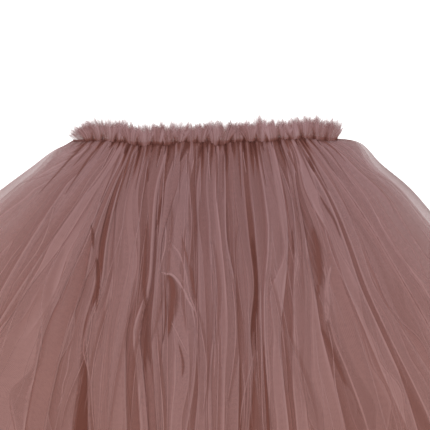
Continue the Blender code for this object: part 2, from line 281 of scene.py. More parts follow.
# The pile opens over a length below the seam, and sinks again by a share towards the hem.
OPENING = 0.085
SINK = 0.30
SINK_START = 0.19
SINK_LENGTH = 0.20


def bloom(down):
    """How far the pile has opened: 0 at the waist seam, 1 in the body, less at the hem."""
    return smooth(down / OPENING) * (1 - SINK * smooth((down - SINK_START) / SINK_LENGTH))


def shoulder(share):
    """1 in the middle of a wall, rounding down to 0 at its side folds."""
    return np.sqrt(np.clip(1 - np.abs(share) ** 5, 0, 1))


def room_beside(share, reach, down):
    """About how far each point of a ply lies inside its side edge."""
    return (reach - np.abs(share)) * (WAIST_HALF + 1.5 * down)


# The height of the cloth where a crease has faded away, and at the side folds.
FADED_HEIGHT = 0.8
SIDE_HEIGHT = 0.55
# How far down the cloth the three strengths of a crease hold.
STRENGTH_DOWNS = (0.02, 0.11, 0.22)
# How much the creases stray where the photograph doesn't show them, as a share.
LOW_STRAY = 0.010


def main_creases(down, rng, sway):
    """Share of each main crease at each row, with the side folds, and its heights."""
    tracks = []
    for crease in CREASES:
        known = [on_cloth(x, d) for x, d in zip(crease[:7], CREASE_DEPTHS) if x is not None]
        shares, downs = np.array(known).T
        tracks.append(curve(down, np.append(0.0, downs), np.append(shares[0], shares)))
    tracks = np.array([-1 + 0 * down] + tracks + [1 + 0 * down]).T
    count = tracks.shape[1]
    at_down = down[:, None]
    away = drift(rng, at_down / OUTER_LENGTH, np.linspace(0, 1, count)[None, :], 9, count)
    away[:, [0, -1]] = 0
    stray = sway + LOW_STRAY * smooth((at_down - 0.24) / 0.12)
    tracks = tracks + away * stray * smooth(at_down / 0.05)
    left, dip, right, near, mid, low = np.array([crease[7:] for crease in CREASES]).T / 10
    strength = np.array([np.interp(down, STRENGTH_DOWNS, row) for row in zip(near, mid, low)]).T

    def with_ends(values):
        """Heights faded by the creases' strength, between those of the side folds."""
        faded = FADED_HEIGHT + (values - FADED_HEIGHT) * strength
        side = np.full((len(down), 1), SIDE_HEIGHT)
        return np.hstack([side, faded, side])

    return tracks, with_ends(left), with_ends(dip), with_ends(right)


def all_creases(down, rng, sway, pitch):
    """The main creases, and smaller ones between them that come and go, from left to right."""
    tracks, left, dip, right = main_creases(down, rng, sway)
    # The smaller ones stand about a pitch apart: the band each is in, its part of the band's
    # width, and how far it may stray.
    middle = len(down) // 2
    band, part, room = [], [], []
    for i in range(tracks.shape[1] - 1):
        ends = lay_out(tracks[middle, i : i + 2], down[middle])[0]
        count = int((ends[1] - ends[0]) / pitch * rng.uniform(0.7, 1.3) + 0.5)
        for j in range(count):
            band.append(i)
            part.append(0.08 + 0.84 * (j + rng.uniform(0.2, 0.8)) / count)
            room.append(0.5 / count)
    band, part, room = np.array(band), np.array(part), np.array(room)
    spread = np.linspace(0, 1, len(band))[None, :]
    v = down[:, None] / OUTER_LENGTH
    wander = drift(rng, v, spread, 5, len(band)) + 0.7 * drift(rng, v, spread, 11, len(band))
    parts = np.clip(part + 1.5 * room * wander, 0.06, 0.94)
    places = tracks[:, band] + (tracks[:, band + 1] - tracks[:, band]) * parts
    # Each is a step up or down in its band, with a dip beside it, where it shows.
    base = right[:, band] + (left[:, band + 1] - right[:, band]) * smooth(parts)
    show = smooth(0.55 + 0.9 * drift(rng, v, spread, 7, len(band)))
    step = rng.uniform(-0.40, 0.40, len(band)) * show
    small_left = base * (1 - np.clip(step, 0, 1))
    small_right = base * (1 - np.clip(-step, 0, 1))
    notch = base * rng.uniform(0.03, 0.25, len(band)) * show
    small_dip = np.minimum(small_left, small_right) - notch
    # All of them from left to right, where none may cross its neighbour.
    order = np.argsort(np.append(np.arange(tracks.shape[1]), band + part))
    main = np.append(np.ones(tracks.shape[1]), np.zeros(len(band)))[order]
    places = np.hstack([tracks, places])[:, order]
    places = np.maximum.accumulate(places, axis=1) + 2e-4 * np.linspace(-1, 1, places.shape[1])
    pairs = ((left, small_left), (dip, small_dip), (right, small_right))
    left, dip, right = (np.hstack(pair)[:, order] for pair in pairs)
    return places, left, dip, right, main


# Where a band between two creases has points, as parts of its width.
STEPS = np.array((0.0, 0.07, 0.20, 0.45, 0.72, 0.91))
# Across a crease, in metres: how far the cloth takes to rise out of it, and how much farther
# out from under its neighbour, how far the neighbour's painted shadow and the crease's own
# painted shade reach, and where its painted rim highlight lies and how wide it is.
RISE = 0.0022
UNDER_RISE = 0.0030
SHADOW = 0.0030
CREASE_SHADOW = 0.0006
RIM_PLACE = 0.0008
RIM_WIDTH = 0.0007
# How many thicknesses of net lie on each other in a band, one of these for each.
THICKNESSES = (0.7, 1.0, 1.0, 1.3, 1.7)


def across_bands(values, edge=None):
    """Spreads a row x crease x step array into rows of points, closed with the last crease."""
    flat = values.reshape(values.shape[0], -1)
    return np.hstack([flat, flat[:, -1:] if edge is None else edge])


def folded(down, creases, rng):
    """Points of a folded ply on its creases and between them.

    Gives each point's share, height (1 on a crown and 0 deep down), painted shading, painted
    rim highlight and number of thicknesses. A band that passes under its neighbour rises and
    is painted lighter slowly away from it, out of its painted shadow, and the band on top ends
    in a steep fold with a painted highlight on its rim.
    """
    places, left, dip, right, main = creases
    x, y = lay_out(places, down[:, None])
    wide = np.hypot(np.diff(x, axis=1), np.diff(y, axis=1))[:, :, None]
    start, stop = places[:, :-1, None], places[:, 1:, None]
    share = start + (stop - start) * STEPS
    low, high = right[:, :-1, None], left[:, 1:, None]
    band = low + (high - low) * smooth(STEPS) + 0 * share
    height = band + 0.05 * np.sin(math.pi * STEPS)
    painted_shading = np.clip(band, 0, 1) ** 0.75
    rim_highlights = np.zeros_like(painted_shading)
    strong = rng.uniform(0.25, 1.0, places.shape[1]) * (0.55 + 0.45 * main)
    for gap, side, other, crease in (
        (STEPS * wide, low, left[:, :-1, None], slice(None, -1)),
        ((1 - STEPS) * wide, high, right[:, 1:, None], slice(1, None)),
    ):
        bottom = dip[:, crease, None]
        under = np.clip((other - side) / 0.35, 0, 1)
        reach = np.minimum(RISE + UNDER_RISE * under, 0.48 * wide) + 1e-6
        rise = 1 - (1 - np.clip(gap / reach, 0, 1)) ** 1.7
        height = bottom + (height - bottom) * rise
        depth = np.clip((side - bottom) / 0.5, 0, 1)
        # Painted shadow of the neighbour that it passes under, and painted shade deep in the
        # crease.
        painted_shading = painted_shading * (1 - 0.42 * under * np.exp(-gap / SHADOW))
        painted_shading = painted_shading * (1 - 0.22 * depth * np.exp(-gap / CREASE_SHADOW))
        # Painted highlight on the rim of the band that lies on top.
        rim_highlight = (1 - under) * np.clip((side - bottom) / 0.15, 0, 1) * strong[crease][None, :, None]
        rim_highlights = np.maximum(rim_highlights, rim_highlight * np.exp(-(((gap - RIM_PLACE) / RIM_WIDTH) ** 2)))
    layers = np.broadcast_to(rng.choice(THICKNESSES, main.size - 1)[:, None], share.shape)
    rows = (across_bands(values) for values in (height, painted_shading, rim_highlights, layers))
    return across_bands(share, places[:, -1:]), *rows


PINCHES = 46


def gathered_in(share, down):
    """Tight gathers below the waist seam: 1 where there is none and 0 in the deepest.

    All plies are sewn together, so their gathers come from the same draws.
    """
    rng = np.random.default_rng(7)
    pinch = np.sort(np.linspace(-1, 1, PINCHES) + rng.uniform(-0.018, 0.018, PINCHES))
    tight = rng.uniform(0, 1, PINCHES) ** 2
    near = np.clip(np.searchsorted(pinch, share), 1, PINCHES - 1)
    deepest = np.ones_like(share)
    for side in (near - 1, near):
        gap = np.abs(share - pinch[side]) * (WAIST_HALF + down * 0.55)
        show = smooth(1.15 - down / (0.007 + 0.030 * tight[side]))
        width = 0.0004 + 0.0010 * show
        deep = show * (0.6 + 0.4 * tight[side]) * np.exp(-((gap / width) ** 2))
        deepest = np.minimum(deepest, 1 - deep)
    return deepest


def cloth(name, x, y, z, faces_up=True, leaf=None):
    """A ply of net: a grid whose points are laid out by arrays, a row for each length down.

    With leaf, the ply is cut into leaves that are each so many columns wide. Gives the piece,
    the row and the column of each of its points, and its flat width and length.
    """
    rows, columns = z.shape
    bpy.ops.mesh.primitive_grid_add(x_subdivisions=columns - 1, y_subdivisions=rows - 1, size=2)
    piece = bpy.context.object
    piece.name = piece.data.name = name
    mesh = piece.data
    flat = np.empty(len(mesh.vertices) * 3)
    mesh.vertices.foreach_get("co", flat)
    flat = flat.reshape(-1, 3)
    column = np.rint((flat[:, 0] + 1) / 2 * (columns - 1)).astype(int)
    row = np.rint((1 - flat[:, 1]) / 2 * (rows - 1)).astype(int)
    points = np.stack([x[row, column], y[row, column], z[row, column]], axis=1)
    mesh.vertices.foreach_set("co", points.ravel())
    step, fall = (np.sqrt(sum(np.diff(a, axis=k) ** 2 for a in (x, y, z))) for k in (1, 0))
    width = np.append(0, np.cumsum(step.mean(axis=0)))
    length = np.append(0, np.cumsum(fall.mean(axis=1)))
    corner = np.empty(len(mesh.loops), int)
    mesh.loops.foreach_get("vertex_index", corner)
    weave = np.stack([width[column[corner]], -length[row[corner]]], axis=1)
    mesh.uv_layers[0].name = "weave"
    mesh.uv_layers[0].data.foreach_set("uv", weave.ravel())
    if leaf:
        between = [len({column[v] // leaf for v in face.vertices}) > 1 for face in mesh.polygons]
        bpy.ops.object.mode_set(mode="EDIT")
        bpy.ops.mesh.select_mode(type="FACE")
        bpy.ops.mesh.select_all(action="DESELECT")
        bpy.ops.object.mode_set(mode="OBJECT")
        mesh.polygons.foreach_set("select", between)
        bpy.ops.object.mode_set(mode="EDIT")
        bpy.ops.mesh.delete(type="ONLY_FACE")
        bpy.ops.object.mode_set(mode="OBJECT")
    if not faces_up:
        mesh.flip_normals()
    mesh.update()
    bpy.ops.object.shade_smooth()
    area = sum(face.area for face in mesh.polygons)
    long = float(length[-1])
    return piece, row, column, (area / long, long)


def darkened(light, deep):
    """Light on the net, from 1 where it is lit to 0 in its folds, less how deep a gap is."""
    return np.clip(light, 0, 1) * (1 - deep) - deep


# How upright the net counts as at least, so that its steep folds stay sheer.
LEAST_UPRIGHT = 0.14


def paint_net(piece, row, column, cover, light):
    """Keeps how much light the net stops at each point and how well lit it is, from -1 to 1.

    Cover is that of net seen square on, and light passes more of it where it slopes.
    """
    normals = np.empty(len(piece.data.vertices) * 3)
    piece.data.vertices.foreach_get("normal", normals)
    upright = np.clip(np.abs(normals.reshape(-1, 3)[:, 2]), LEAST_UPRIGHT, 1)
    stopped = 1 - (1 - cover[row, column]) ** (1 / upright)
    for name, values in (("cover", stopped), ("light", light[row, column])):
        piece.data.attributes.new(name, "FLOAT", "POINT").data.foreach_set("value", values)


class Link:
    """A shader socket that can be used in arithmetic, and each operation adds a Math node."""

    def __init__(self, shader, socket):
        self.shader = shader
        self.socket = socket

    def math(self, kind, a, b):
        node = self.shader.node("ShaderNodeMath", {"operation": kind}, {0: a, 1: b})
        return Link(self.shader, node.outputs[0])

    def __add__(self, other):
        return self.math("ADD", self, other)

    def __sub__(self, other):
        return self.math("SUBTRACT", self, other)

    def __rsub__(self, other):
        return self.math("SUBTRACT", other, self)

    def __mul__(self, other):
        return self.math("MULTIPLY", self, other)

    __radd__ = __add__
    __rmul__ = __mul__

    def sine(self):
        return self.math("SINE", self, 0.0)

    def unsigned(self):
        return self.math("ABSOLUTE", self, 0.0)


class Shader:
    """A material's node tree."""

    def __init__(self, name):
        self.material = bpy.data.materials.new(name)
        self.material.use_nodes = True
        self.tree = self.material.node_tree
        self.surface = self.tree.nodes["Principled BSDF"]

    def node(self, kind, settings, values):
        """Adds a node: its settings first, then the values or links of its sockets."""
        made = self.tree.nodes.new(kind)
        for key, value in settings.items():
            setattr(made, key, value)
        for key, value in values.items():
            self.feed(made.inputs[key], value)
        return made

    def mix(self, factor, a, b, kind="RGBA", blend="MIX"):
        """Mixes two colours, or two vectors."""
        settings = {"data_type": kind, "blend_type": blend}
        values = {"Factor": factor, "A": a, "B": b}
        return self.node("ShaderNodeMix", settings, values).outputs["Result"]

    def feed(self, socket, value):
        """Links a socket, or sets its value."""
        if isinstance(value, Link):
            self.tree.links.new(value.socket, socket)
        elif isinstance(value, bpy.types.NodeSocket):
            self.tree.links.new(value, socket)
        else:
            socket.default_value = value

    def finish(self, **values):
        """Feeds the shader's own sockets, named with underscores for spaces."""
        for key, value in values.items():
            self.feed(self.surface.inputs[key.replace("_", " ")], value)
        return self.material


# The size of a hole of the net, the painted shade of its deepest gaps, and its tints: greyer
# near the waist, and warmer low down and at the sides, the left one most.
NET_CELL = 0.0012
DEEPEST_SHADE = (0.085, 0.020, 0.013, 1.0)
GREYER = (0.960, 1.000, 1.050, 1.0)
WARMER = (1.030, 1.005, 0.945, 1.0)
SHEEN_TINT = (0.9, 0.78, 0.78, 1.0)
UP = (0.0, 0.0, 1.0)


def net(name, lit, shade, sheen):
    """Sheer net: painted shade darkens it in its folds, and its threads stop part of the light."""
    shader = Shader(name)
    light, cover = (
        shader.node("ShaderNodeAttribute", {"attribute_name": painted}, {}).outputs["Fac"]
        for painted in ("light", "cover")
    )
    weave = shader.node("ShaderNodeUVMap", {"uv_map": "weave"}, {}).outputs["UV"]
    apart = shader.node("ShaderNodeSeparateXYZ", {}, {0: weave})
    u = Link(shader, apart.outputs[0])
    v = Link(shader, apart.outputs[1])
    # Three sets of threads, 60 degrees apart.
    turn = 2 * math.pi / NET_CELL
    threads = (u * turn).sine() * (u * (turn / 2) + v * (turn * 0.866)).sine()
    threads = threads * (u * (turn / 2) - v * (turn * 0.866)).sine()
    spotty = shader.node(
        "ShaderNodeTexNoise", {}, {"Vector": weave, "Scale": 260.0, "Detail": 2.0}
    ).outputs["Fac"]
    # Painted light and shade: the painted light attribute mixes shaded, lit and deepest shade
    # colours.
    colour = shader.mix(light, shade, lit)
    colour = shader.mix(Link(shader, light) + 1.0, DEEPEST_SHADE, colour)
    place = shader.node("ShaderNodeTexCoord", {}, {}).outputs["Object"]
    place = shader.node("ShaderNodeSeparateXYZ", {}, {0: place})
    across = Link(shader, place.outputs[0]) - WAIST_X
    warmth = across.unsigned() * 2.6 - across * 0.9 - Link(shader, place.outputs[1]) * 3.6 + 0.42
    colour = shader.mix(1.0, colour, shader.mix(warmth, GREYER, WARMER), blend="MULTIPLY")
    body = Link(shader, cover) * (0.92 + threads * 0.22) + (Link(shader, spotty) - 0.5) * 0.12
    # Many thin plies scatter the light, so steep folds are lit nearly like level cloth.
    facing = shader.node("ShaderNodeNewGeometry", {}, {}).outputs["Normal"]
    lifted = shader.mix(0.8, facing, UP, kind="VECTOR")
    upward = shader.node(
        "ShaderNodeVectorMath", {"operation": "NORMALIZE"}, {0: lifted}
    ).outputs["Vector"]
    return shader.finish(
        Base_Color=colour,
        # Painted light: the net glows faintly in its own colour, in place of light passing through
        # it.
        Emission_Color=colour,
        Emission_Strength=0.22,
        Alpha=body,
        Normal=upward,
        Roughness=0.85,
        Specular_IOR_Level=0.15,
        Sheen_Weight=sheen,
        Sheen_Roughness=0.5,
        Sheen_Tint=SHEEN_TINT,
    )


def casing():
    """Closely gathered net round the elastic, too dense to see through."""
    shader = Shader("gathered_casing")
    place = shader.node("ShaderNodeTexCoord", {}, {}).outputs["Object"]
    mottle = shader.node("ShaderNodeTexNoise", {}, {"Vector": place, "Scale": 900.0}).outputs["Fac"]
    # Darker than the lit net, for its dense gathers and as painted shade under the ruffle.
    colour = shader.mix(mottle, (0.20, 0.090, 0.080, 1.0), (0.32, 0.170, 0.160, 1.0))
    return shader.finish(Base_Color=colour, Roughness=0.9, Specular_IOR_Level=0.1)


def make_ply(name, node, material, points, cover, light, laid=False, leaf=None):
    """Builds and paints a ply, hangs it on the root body and hides the solid that it stands for.

    A ply that is laid on the floor faces down.
    """
    piece, row, column, flat = cloth(name, *points, faces_up=not laid, leaf=leaf)
    paint_net(piece, row, column, cover, light)
    piece.data.materials.append(material)
    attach(piece, "root")
    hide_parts(node)
    return piece


def front_heights(rng, share, down, height, pinched, drop):
    """Height of a ply of the front that lies so far under the top one."""
    opened = bloom(down)
    z = SEAM_TOP + (PILE_TOP - SEAM_TOP) * opened
    z = z - MAIN_DEPTH * (0.05 + 0.95 * opened) * (1 - height) - GATHER_DEPTH * (1 - pinched)
    uneven = drift(rng, down / OUTER_LENGTH, (share + 1) / 2, 9, 60)
    z = z + 0.0012 * opened * uneven - drop * (0.15 + 0.85 * opened)
    return FRONT_SIDE_Z + (z - FRONT_SIDE_Z) * shoulder(share)


def front_light(rng, share, down, painted_shading, rim_highlight, pinched, under):
    """How well lit a ply of the front is: its folds, and the broad light and shade on them."""
    u, v = (share + 1) / 2, down / OUTER_LENGTH
    outward = np.abs(share)
    # Painted shade under the ruffle and below the waist, but not at the sides.
    painted_shading = painted_shading * (0.88 + 0.12 * smooth(down / 0.006))
    near = 0.78 + 0.22 * smooth(down / 0.12)
    painted_shading = painted_shading * (near + (1 - near) * smooth((outward - 0.3) / 0.6))
    painted_shading = painted_shading * (1 + 0.05 * drift(rng, v, u, 7, 260))
    light = 0.80 * painted_shading + 0.30 * rim_highlight * (0.4 + 0.6 * painted_shading)
    # Painted light all down the left side and low on the right one, painted shade right of the
    # middle.
    light = light + 0.26 * smooth((-share - 0.70) / 0.2) * (1 - 0.4 * smooth((down - 0.15) / 0.15))
    light = light + 0.24 * smooth((share - 0.62) / 0.3) * smooth((down - 0.16) / 0.12)
    light = light + 0.05 * smooth((-share - 0.50) / 0.2)
    light = light - 0.045 * np.exp(-(((share - 0.20) / 0.24) ** 2))
    # Painted light towards the side folds, far more on the under net.
    lighter, start, wide = (0.6, 0.45, 0.25) if under else (0.07, 0.5, 0.2)
    light = light + lighter * smooth((outward - start) / wide)
    # Painted shade on knots of net just below the seam.
    knots = (1 - smooth(down / 0.0055)) * smooth(0.15 + 1.1 * drift(rng, v, u, 1, 60))
    knots = knots * (1 - 0.7 * smooth((outward - 0.72) / 0.15))
    # Painted shade deep in the gathers and on the knots.
    return darkened(light, np.maximum(0.9 * (1 - pinched), 0.6 * knots))


def front_cover(rng, share, down, reach, stops, layers, rim_highlight, pinched):
    """How much light a ply of outer tulle stops: more in its thick bands, its gathers and under
    its painted rim highlights, less near its side edges.
    """
    edge = 0.80 + 0.20 * smooth(room_beside(share, reach, down) / 0.022)
    layers = 1 + (layers - 1) * smooth((0.92 - np.abs(share)) / 0.2)
    uneven = drift(rng, down / OUTER_LENGTH, (share + 1) / 2, 7, 50)
    cover = 1 - (1 - stops * edge) ** (layers * (1 + 0.15 * uneven))
    return 1 - (1 - cover) * (1 - 0.65 * rim_highlight) * (1 - 0.5 * (1 - pinched))


def front_plies(nets, under_material):
    """The front of the skirt: three plies of outer tulle over the under net."""
    above = None
    drop = 0.0
    for number, (name, node, pitch, reach, gap, stops, seed) in enumerate(PLIES):
        rng = np.random.default_rng(seed)
        under = node == "front_under"
        length = UNDER_LENGTH if under else OUTER_LENGTH
        down = length * np.linspace(0, 1, FRONT_ROWS + 1) ** ROW_CROWDING
        creases = all_creases(down, rng, 0.0 if above is None else LOWER_SWAY, pitch)
        share, height, painted_shading, rim_highlight, layers = folded(down, creases, rng)
        down = down[:, None]
        reach = 1 - (1 - reach) * smooth(down / 0.05)
        share = share * reach
        x, y = lay_out(share, down)
        pinched = gathered_in(share, down)
        drop += gap
        z = front_heights(rng, share, down, height, pinched, drop)
        if above is not None:
            top = np.array([np.interp(s, a, h) for s, a, h in zip(share, *above)])
            z = np.minimum(z, top - PLY_GAP)
        above = (share, z)
        light = front_light(rng, share, down, painted_shading, rim_highlight, pinched, under)
        if under:
            room = room_beside(share, reach, down)
            cover = stops * smooth(room / 0.085 + 0.3 * (1 - smooth(down / 0.04)))
        else:
            cover = front_cover(rng, share, down, reach, stops, layers, rim_highlight, pinched)
        material = under_material if under else nets[number]
        piece = make_ply(name, node, material, (x, y, z), cover, light)
        if number == 0:
            fold_shading_strips(nets[0], piece)


def strip(light, cover, across, depth, wide):
    """A strip in the same form as those of the FOLDS table."""
    return light, cover, list(zip(across, depth, wide))


def hairlines(rng):
    """Fine folds that wander down the fan, as strips with painted highlights."""
    even = np.linspace(0, 1, 6)
    for middle in np.linspace(-0.93, 0.93, 110):
        middle = middle + rng.uniform(-0.02, 0.02)
        start = rng.uniform(0.006, 0.20)
        down = np.minimum(start + even * rng.uniform(0.05, 0.15), OUTER_LENGTH - 0.005)
        lean = rng.uniform(-0.03, 0.03)
        share = middle + lean * even + rng.uniform(-0.004, 0.004, 6)
        across, depth = from_waist(*lay_out(np.clip(share, -0.97, 0.97), down))
        wide = rng.uniform(0.7, 1.5) * np.array((0.4, 1, 1.1, 1, 0.8, 0.4))
        yield strip(rng.uniform(7, 10), rng.uniform(3, 6.5), across, depth, wide)


def veils(rng):
    """Wide sheer folds that swing across the bands, with a painted shadow and a painted rim
    highlight beside each.
    """
    even = np.linspace(0, 1, 7)
    thin = np.array((0.6, 1.2, 1.4, 1.4, 1.3, 1.0, 0.5))
    for middle in np.linspace(-0.80, 0.80, 26):
        middle = middle + rng.uniform(-0.03, 0.03)
        down = rng.uniform(0.010, 0.17) + even * rng.uniform(0.09, 0.17)
        swing = 0.013 * np.sin(even * rng.uniform(2, 6) + rng.uniform(0, 6))
        share = middle + rng.uniform(-0.04, 0.04) * even + swing
        across, depth = from_waist(*lay_out(share, np.minimum(down, OUTER_LENGTH - 0.006)))
        wide = rng.uniform(5, 11) * np.array((0.15, 0.6, 0.9, 1.0, 0.8, 0.5, 0.15))
        side = rng.choice((-1, 1)) * wide / 2
        yield strip(rng.uniform(4, 8), rng.uniform(2.5, 4.5), across, depth, wide)
        shadow = rng.uniform(2.5, 4.5) * (1 - 0.9 * smooth((abs(middle) - 0.35) / 0.3))
        yield strip(1, shadow, across + side * 1.4, depth, 4.0 * thin)
        yield strip(rng.uniform(8, 10), rng.uniform(4, 7), across + side, depth, thin)


def short_gathers(rng):
    """Short creases just under the seam: a wedge of painted shade with a painted highlight on an
    edge beside it.
    """
    even = np.linspace(0, 1, 5)
    for middle in np.linspace(-0.86, 0.86, 34):
        down = rng.uniform(0.001, 0.014) + even * rng.uniform(0.018, 0.060)
        share = middle + rng.uniform(-0.018, 0.018) + rng.uniform(-0.008, 0.008) * even
        across, depth = from_waist(*lay_out(share, down))
        wide = rng.uniform(1.4, 3.2) * np.array((0.9, 1.0, 0.7, 0.45, 0.2))
        side = rng.choice((-1, 1)) * (wide / 2 + 0.4)
        yield strip(rng.uniform(-3, 0), rng.uniform(4, 8), across, depth, wide)
        thin = 0.9 + 0 * wide
        yield strip(rng.uniform(8, 10), rng.uniform(3, 6), across + side, depth, thin)


def seam_knots():
    """The KNOTS table as strips of dense net in painted shade, which narrow downwards and lean out
    a little.
    """
    for middle, wide, long in KNOTS:
        top = float(seam_drop(middle / (WAIST_HALF * 1000))) * 1000 + 1.5
        lean = middle * 0.04
        across = (middle, middle, middle + lean / 4, middle + lean)
        depth = (top - 1, top + 1, top + long / 2, top + long)
        yield strip(-8, 8.5, across, depth, (wide, wide, wide / 2, 0.4))


FOLD_COLUMNS = 9
FOLD_ROWS = 40
NARROWEST_FOLD = 0.0003
# How high a strip lies over the ply at its edges, and how much higher in its middle.
FOLD_LIFT = 0.0003
FOLD_CROWN = 0.0004


def fold_shading_strips(material, ply):
    """Folds that cross the others, gathers and gaps: narrow strips of net on the top ply, with
    painted highlights and painted shade.
    """
    bpy.context.view_layer.update()
    rng = np.random.default_rng(5)
    strips = [*hairlines(rng), *veils(rng), *short_gathers(rng), *seam_knots(), *FOLDS]
    wide = np.linspace(-1, 1, FOLD_COLUMNS)[None, :]
    even = np.linspace(0, 1, FOLD_ROWS)
    ends = smooth(even / 0.12) * smooth((1 - even) / 0.12)
    grids = []
    for lit, stops, places in strips:
        across, depth, width = np.array(places).T / 1000
        along = np.append(0, np.cumsum(np.hypot(np.diff(across), np.diff(depth))))
        at = even * along[-1]
        across, depth, width = (curve(at, along, line) for line in (across, depth, width))
        half = np.maximum(width, NARROWEST_FOLD)[:, None] / 2
        run, fall = np.gradient(across), np.gradient(depth)
        run, fall = run / np.hypot(run, fall), fall / np.hypot(run, fall)
        px = WAIST_X + across[:, None] + half * wide * fall[:, None]
        py = SEAM_Y - depth[:, None] + half * wide * run[:, None]
        hits = [ply.ray_cast((a, b, 0.2), (0, 0, -1)) for a, b in zip(px.ravel(), py.ravel())]
        height = np.array([place.z if hit else 0.001 for hit, place, *_ in hits])
        pz = height.reshape(px.shape) + FOLD_CROWN * (1 - wide**2) + FOLD_LIFT
        soft = 0.7 if lit > 0 else 0.85
        cover = stops / 10 * smooth((1 - np.abs(wide)) / soft) * ends[:, None]
        grids.append((px, py, pz, cover, lit / 10 + 0 * px))
    x, y, z, cover, light = (np.hstack(grid) for grid in zip(*grids))
    make_ply("fold_shading_strips", "front_outer", material, (x, y, z), cover, light, leaf=FOLD_COLUMNS)


def back_plies(material, under_material):
    """The back of the skirt: plies pressed on the floor, and the under net on them."""
    for name, node, columns, rows, reach, low, high, wave, stops, seed in BACK_PLIES:
        rng = np.random.default_rng(seed)
        under = node == "back_under"
        length = UNDER_LENGTH if under else OUTER_LENGTH
        # Columns that stand evenly apart across the middle of the fan.
        even = np.linspace(-1, 1, 801)
        spread = lay_out(even, 0.14 + 0 * even)[0]
        share = np.interp(np.linspace(spread[0], spread[-1], columns + 1), spread, even)[None, :]
        share = share * reach
        down = length * np.linspace(0, 1, rows + 1)[:, None] ** ROW_CROWDING
        x, y = lay_out(share, down)
        opened = bloom(down)
        folds = drift(rng, down / OUTER_LENGTH, (share + 1) / 2, 5, 70)
        z = low + (high - low) * opened + wave * (0.3 + 0.7 * opened) * folds
        z = BACK_SIDE_Z + (z - BACK_SIDE_Z) * shoulder(share)
        cover = stops * (0.82 + 0.18 * smooth(room_beside(share, reach, down) / 0.020)) + 0 * z
        if under:
            cover = cover * smooth((reach - np.abs(share)) / 0.10)
        chosen = under_material if under else material
        make_ply(name, node, chosen, (x, y, z), cover, np.ones_like(z), laid=True)


# The heading ruffle: how high its raw edge stands above the waist's left end, and how far
# its base bulges down over the seam, both read along the waist in mm from its middle.
RUFFLE_TOPS = (
    # across, height
    (-120, 6.0), (-114, 7.5), (-108, 10.6), (-102, 13.0), (-97, 15.0), (-92, 15.5), (-89, 15.2),
    (-85, 15.6), (-81, 14.2), (-77, 16.3), (-73, 15.2), (-70, 12.8), (-65, 12.6), (-60, 14.0),
    (-55, 13.9), (-50, 13.3), (-46, 13.5), (-41, 13.9), (-36, 13.5), (-32, 12.5), (-27, 12.3),
    (-24, 11.1), (-20, 13.7), (-15, 9.8), (-10, 13.4), (-4, 12.3), (-1, 11.9), (2, 14.5),
    (8, 14.7), (13, 16.2), (16, 15.2), (19, 14.8), (21, 13.8), (26, 14.3), (33, 17.2),
    (37, 14.0), (43, 15.6), (49, 18.8), (55, 17.2), (60, 16.8), (64, 15.4), (71, 15.9),
    (77, 16.1), (82, 18.9), (85, 17.0), (90, 20.3), (95, 17.1), (100, 16.4), (106, 18.9),
    (112, 16.6), (117, 15.4), (121, 12.5),
)
RUFFLE_BULGES = (
    # across, drop
    (-116, 0.0), (-92, -0.6), (-78, -0.4), (-66, -0.3), (-60, 1.3), (-54, 1.5), (-48, 0.3),
    (-40, 0.2), (-34, 1.3), (-30, 0.4), (-24, -1.0), (-14, -1.0), (-7, -0.2), (-2, -0.8),
    (5, -0.6), (10, 2.4), (15, 1.4), (20, 0.2), (30, 0.0), (46, 0.3), (56, 1.0), (64, -0.4),
    (76, 0.2), (86, -0.5), (96, 0.3), (104, 1.2), (115, 0.0),
)
# Where the gathers of the ruffle are tightest, in mm from the waist's middle. A fan of net
# stands between each two of these, and leans right by the degrees beside the first.
RUFFLE_FANS = (
    # across, lean
    (-113, -32), (-105, -30), (-97, -20), (-88, -2), (-78, 8), (-69, -6), (-58, 3), (-46, 9),
    (-37, -10), (-27, 14), (-17, -7), (-8, 6), (2, -9), (12, 12), (22, 3), (33, -8), (43, 6),
    (54, -5), (64, 10), (73, -9), (83, 4), (93, 10), (103, 12), (113.5, 0),
)
RUFFLES = (
    # name, stands for, seam z, tip z, share of the height, shift along the seam, cover, seed
    ("ruffle_front_1", "ruffle_front", 0.0116, 0.0162, 0.92, 0.0000, 0.66, 41),
    ("ruffle_front_2", "ruffle_front", 0.0106, 0.0138, 1.00, 0.0010, 0.50, 42),
    ("ruffle_front_3", "ruffle_front", 0.0098, 0.0114, 0.98, 0.0045, 0.62, 43),
    ("ruffle_back_1", "ruffle_back", 0.0040, 0.0064, 1.00, 0.0020, 0.50, 44),
    ("ruffle_back_2", "ruffle_back", 0.0022, 0.0028, 0.92, -0.0050, 0.50, 45),
)
LEAF_COLUMNS = 46
LEAF_ROWS = 13
# How far below the waist seam the ruffle's foot is sewn.
RUFFLE_FOOT = 0.0014


def each_fan(rng, low, high, fan):
    """An uneven value for each fan, at each of its columns."""
    return rng.uniform(low, high, fan[-1] + 1)[fan]


def ruffle_light(rng, fan, edge, level, crest, streaks, fine, knots, behind):
    """How well lit a ply of the ruffle is: dark in its gathers, light at its raw edge."""
    # Painted shade in the troughs of its small folds and along streaks, lighter towards the raw
    # edge.
    light = (0.60 + 0.40 * smooth(level / 0.5)) * (0.58 + 0.42 * crest) * (0.26 + 1.06 * streaks)
    light = light * each_fan(rng, 0.58, 1.06, fan) + 0.22 * level
    light = light * (0.60 + 0.74 * fine)
    # Painted highlight along the sides of each fan, on its upper half.
    light = light + 0.20 * np.exp(-((edge / 0.10) ** 2)) * smooth(level * 2)
    # Painted shade on the ply behind, and painted light on the rightmost fan.
    light = light * (0.75 if behind else 1.0)
    light = light * np.where(fan == fan[-1], 1.18, 1.0)
    # Painted shade where the fans are gathered in, and on knots near the foot.
    pinched = smooth(edge * 1.7 + level * 1.1 - 0.1)
    low = 1 - smooth(level / 0.22)
    deep = np.maximum((1 - pinched) * (1 - 0.6 * level), 0.75 * low * knots)
    return darkened(light, deep)


